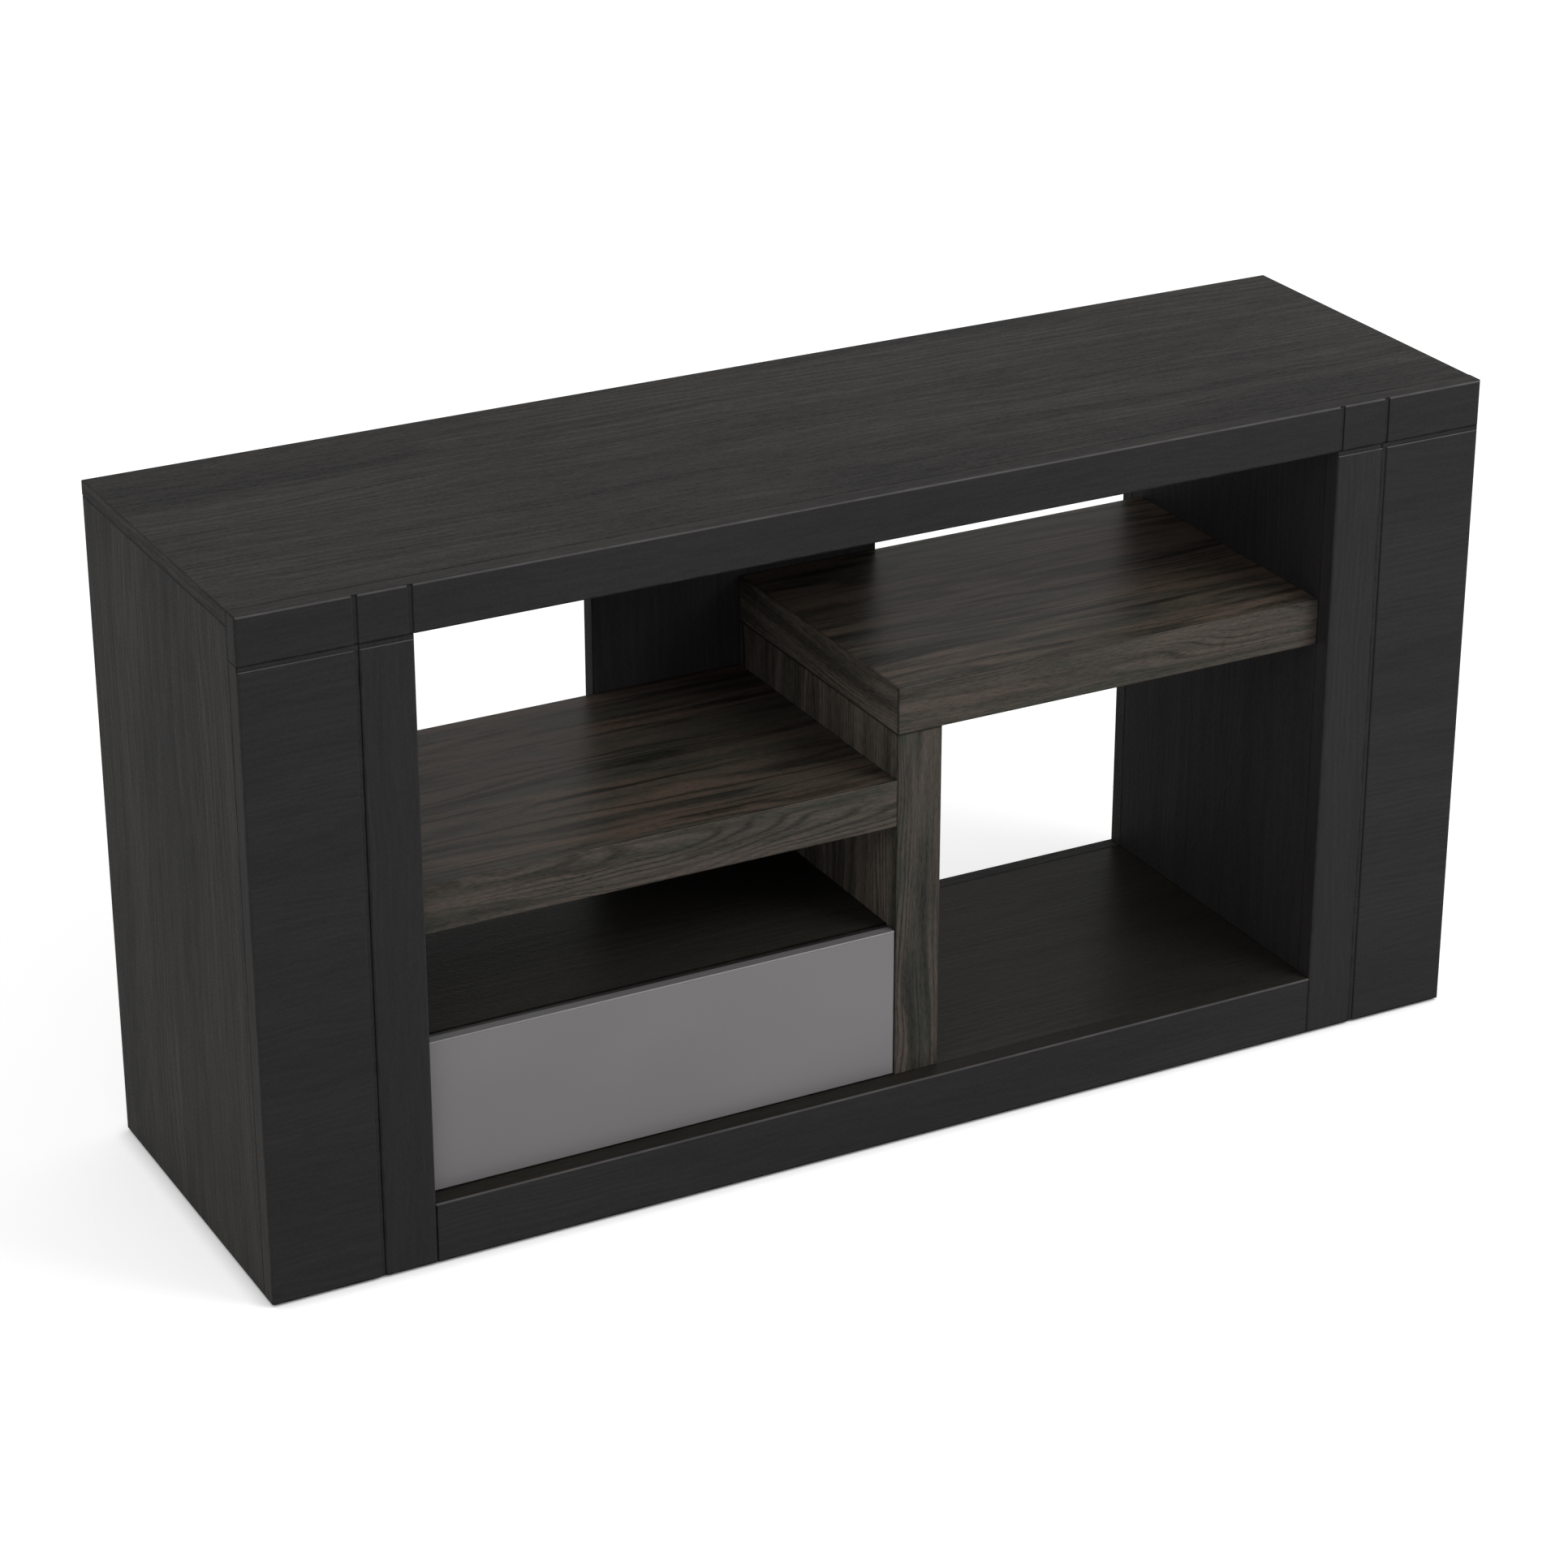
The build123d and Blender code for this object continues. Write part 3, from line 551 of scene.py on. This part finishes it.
# Fittings: zinc cam locks and bolts draw the base between the pillars, beech dowels and tongues
# carry the rest, and eight plastic glides keep the panel ends off the floor.
BEECH_FLECK = (186, 148, 104)
BEECH_PALE = (214, 180, 138)
raw_beech, tree, place = start_finish("raw_beech")
fleck = cloud(tree, place["Object"], (160, 160, 60), detail=3)
colour = tint(tree, spread(tree, fleck, low=0.35, high=0.65), BEECH_FLECK, BEECH_PALE)
finish_surface(tree, colour, vary(tree, fleck, base=0.55, change=0.2))
for node in ("dowels", "glue_tongues", "drawer_tongues"):
    dress(node, raw_beech)
for node in ("cam_locks", "cam_bolts"):
    dress(node, zinc)
dress("floor_glides", black_plastic)


# Screws: zinc-plated cross-heads. Flat ones hold the pillar backs, the back rail and the centre panel,
# and round ones in the hollow of each drawer member hold it to the side of the drawer.
RIM_STEPS = 24
QUARTER = RIM_STEPS // 4
RECESS_DEPTH = 0.0007
RECESS_ARM = 0.52
RECESS_CORE = 0.2


def screw_heads(name, body, places, facing, radius, profile):
    """Round heads with a cross recess, each turned on a profile of (share of the radius, height) rings."""
    mesh = bpy.data.meshes.new(name)
    shape = bmesh.new()
    turn = facing.to_track_quat("Z", "Y")
    rim = [i * math.tau / RIM_STEPS for i in range(RIM_STEPS)]
    arms = [RECESS_ARM if i % QUARTER in (0, 1, QUARTER - 1) else RECESS_CORE for i in range(RIM_STEPS)]
    for place in places:
        rings = [[(share, height)] * RIM_STEPS for share, height in profile]
        rings.append([(arm, profile[-1][1] - RECESS_DEPTH) for arm in arms])
        turned = []
        for ring in rings:
            corners = [
                Vector((share * radius * math.cos(angle), share * radius * math.sin(angle), height))
                for angle, (share, height) in zip(rim, ring)
            ]
            turned.append([shape.verts.new(place + turn @ corner) for corner in corners])
        for first, second in zip(turned, turned[1:]):
            for i in range(RIM_STEPS):
                shape.faces.new((first[i - 1], first[i], second[i], second[i - 1]))
        shape.faces.new(turned[-1])
    bmesh.ops.recalc_face_normals(shape, faces=shape.faces)
    shape.to_mesh(mesh)
    shape.free()
    heads = bpy.data.objects.new(name, mesh)
    bpy.context.scene.collection.objects.link(heads)
    heads.data.materials.append(zinc)
    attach(heads, body)


PILLAR_SCREW_Z = (0.09, 0.34, 0.59)
RAIL_SCREW_X = (-0.4, -0.2, 0.25, 0.4)
RAIL_SCREW_Z = 0.0565
PANEL_SCREWS = ((-0.11, 0.355), (-0.03, 0.355), (0.06, 0.45), (0.13, 0.45), (0.035, 0.14), (0.035, 0.28))
FLAT_HEAD_RADIUS = 0.0038
FLAT_HEAD = [(1.0, 0.0), (0.94, 0.0004), (0.62, 0.0004)]
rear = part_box("back_rail")[1].y
panel_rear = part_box("centre_back_panel")[1].y
inner_x = sum(corner.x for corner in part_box("right_inner_panel")) / 2
places = [Vector((side * inner_x, rear, z)) for side in (-1, 1) for z in PILLAR_SCREW_Z]
places += [Vector((x, rear, RAIL_SCREW_Z)) for x in RAIL_SCREW_X]
places += [Vector((x, panel_rear, z)) for x, z in PANEL_SCREWS]
screw_heads("back_screws", "carcass", places, Vector((0, 1, 0)), FLAT_HEAD_RADIUS, FLAT_HEAD)

SLIDE_SHEET = 0.0012
SLIDE_SCREW_SETBACKS = (0.025, 0.105, 0.235)
ROUND_HEAD_RADIUS = 0.0036
ROUND_HEAD = [(1.0, 0.0), (0.97, 0.0007), (0.85, 0.0013), (0.62, 0.0017)]
for side, outward in (("left", -1), ("right", 1)):
    low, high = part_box(f"{side}_slide_drawer_member")
    web_x = (high.x if outward < 0 else low.x) + outward * SLIDE_SHEET
    middle_z = (low.z + high.z) / 2
    places = [Vector((web_x, low.y + setback, middle_z)) for setback in SLIDE_SCREW_SETBACKS]
    facing = Vector((outward, 0, 0))
    screw_heads(f"{side}_slide_screws", "drawer", places, facing, ROUND_HEAD_RADIUS, ROUND_HEAD)


# Studio: a plain pale floor in an even white surround. One broad soft lamp shines from the front right,
# and a weaker one from the front left lights the inside of the open bays.
FLOOR_REACH = 15.0
floor_mesh = bpy.data.meshes.new("studio_floor")
floor_corners = [(-1, -1), (1, -1), (1, 1), (-1, 1)]
floor_mesh.from_pydata([(x * FLOOR_REACH, y * FLOOR_REACH, 0) for x, y in floor_corners], [], [(0, 1, 2, 3)])
floor = bpy.data.objects.new("studio_floor", floor_mesh)
bpy.context.scene.collection.objects.link(floor)


def seen_white(tree):
    """1 for what is seen directly, in a reflection or through glass, and 0 for light that is scattered."""
    ray = add(tree, "LightPath", {}).outputs
    seen = reckon(tree, "MAXIMUM", ray["Is Camera Ray"], ray["Is Glossy Ray"])
    return reckon(tree, "MAXIMUM", seen, ray["Is Transmission Ray"])


WHITE = (1, 1, 1, 1)
PAPER_SCATTERING = (0.62, 0.62, 0.62, 1)
PAPER_SEEN = (0.8, 0.8, 0.8, 1)
PAPER_LIFT = 0.52
CONTACT_REACH = 0.018
floor_paper = bpy.data.materials.new("floor_paper")
floor_paper.use_nodes = True
tree = floor_paper.node_tree
tree.nodes.remove(tree.nodes["Principled BSDF"])
pale = add(tree, "BsdfDiffuse", {"Color": PAPER_SCATTERING})
shaded = add(tree, "BsdfDiffuse", {"Color": PAPER_SEEN})
near = add(tree, "AmbientOcclusion", {"Distance": CONTACT_REACH}).outputs["AO"]
lifted = add(tree, "Emission", {"Color": WHITE, "Strength": reckon(tree, "MULTIPLY", near, PAPER_LIFT)})
white = add(tree, "AddShader", {0: shaded.outputs[0], 1: lifted.outputs[0]})
paper = add(tree, "MixShader", {0: seen_white(tree), 1: pale.outputs[0], 2: white.outputs[0]})
tree.links.new(paper.outputs[0], tree.nodes["Material Output"].inputs["Surface"])
floor_mesh.materials.append(floor_paper)

SURROUND_LIGHT = 0.64
SURROUND_SEEN = 1.0
world = bpy.data.worlds.new("studio")
bpy.context.scene.world = world
world.use_nodes = True
tree = world.node_tree
tree.nodes.remove(tree.nodes["Background"])
ambient = add(tree, "Background", {"Color": WHITE, "Strength": SURROUND_LIGHT})
backdrop = add(tree, "Background", {"Color": WHITE, "Strength": SURROUND_SEEN})
surround = add(tree, "MixShader", {0: seen_white(tree), 1: ambient.outputs[0], 2: backdrop.outputs[0]})
tree.links.new(surround.outputs[0], tree.nodes["World Output"].inputs["Surface"])

LAMP_AIM = Vector((0, 0, 0.35))
for name, place, width, watts in (
    ("key_lamp", (1.8, -2.0, 2.2), 2.0, 58),
    ("fill_lamp", (-1.9, -1.9, 2.3), 1.2, 8),
):
    lamp = bpy.data.lights.new(name, "AREA")
    lamp.shape = "DISK"
    lamp.size = width
    lamp.energy = watts
    holder = bpy.data.objects.new(name, lamp)
    holder.location = place
    holder.rotation_mode = "QUATERNION"
    holder.rotation_quaternion = (LAMP_AIM - holder.location).to_track_quat("-Z", "Y")
    bpy.context.scene.collection.objects.link(holder)


# Camera: the photograph's viewpoint, a long lens from the left front and above.
# Its place and angles were fitted to the table's corners, without roll or lens shift.
CAMERA_PLACE = (-1.8318, -3.3942, 2.0682)
CAMERA_AZIMUTH = math.radians(-28.091)
CAMERA_ELEVATION = math.radians(24.507)
SENSOR_WIDTH = 36
LENS = 99.05
camera = bpy.data.objects.new("camera", bpy.data.cameras.new("camera"))
level = math.cos(CAMERA_ELEVATION)
ahead = Vector((
    -math.sin(CAMERA_AZIMUTH) * level,
    math.cos(CAMERA_AZIMUTH) * level,
    -math.sin(CAMERA_ELEVATION),
))
camera.location = CAMERA_PLACE
camera.rotation_mode = "QUATERNION"
camera.rotation_quaternion = ahead.to_track_quat("-Z", "Y")
camera.data.sensor_width = SENSOR_WIDTH
camera.data.lens = LENS
bpy.context.scene.collection.objects.link(camera)
bpy.context.scene.camera = camera
bpy.context.scene.view_settings.view_transform = "Standard"
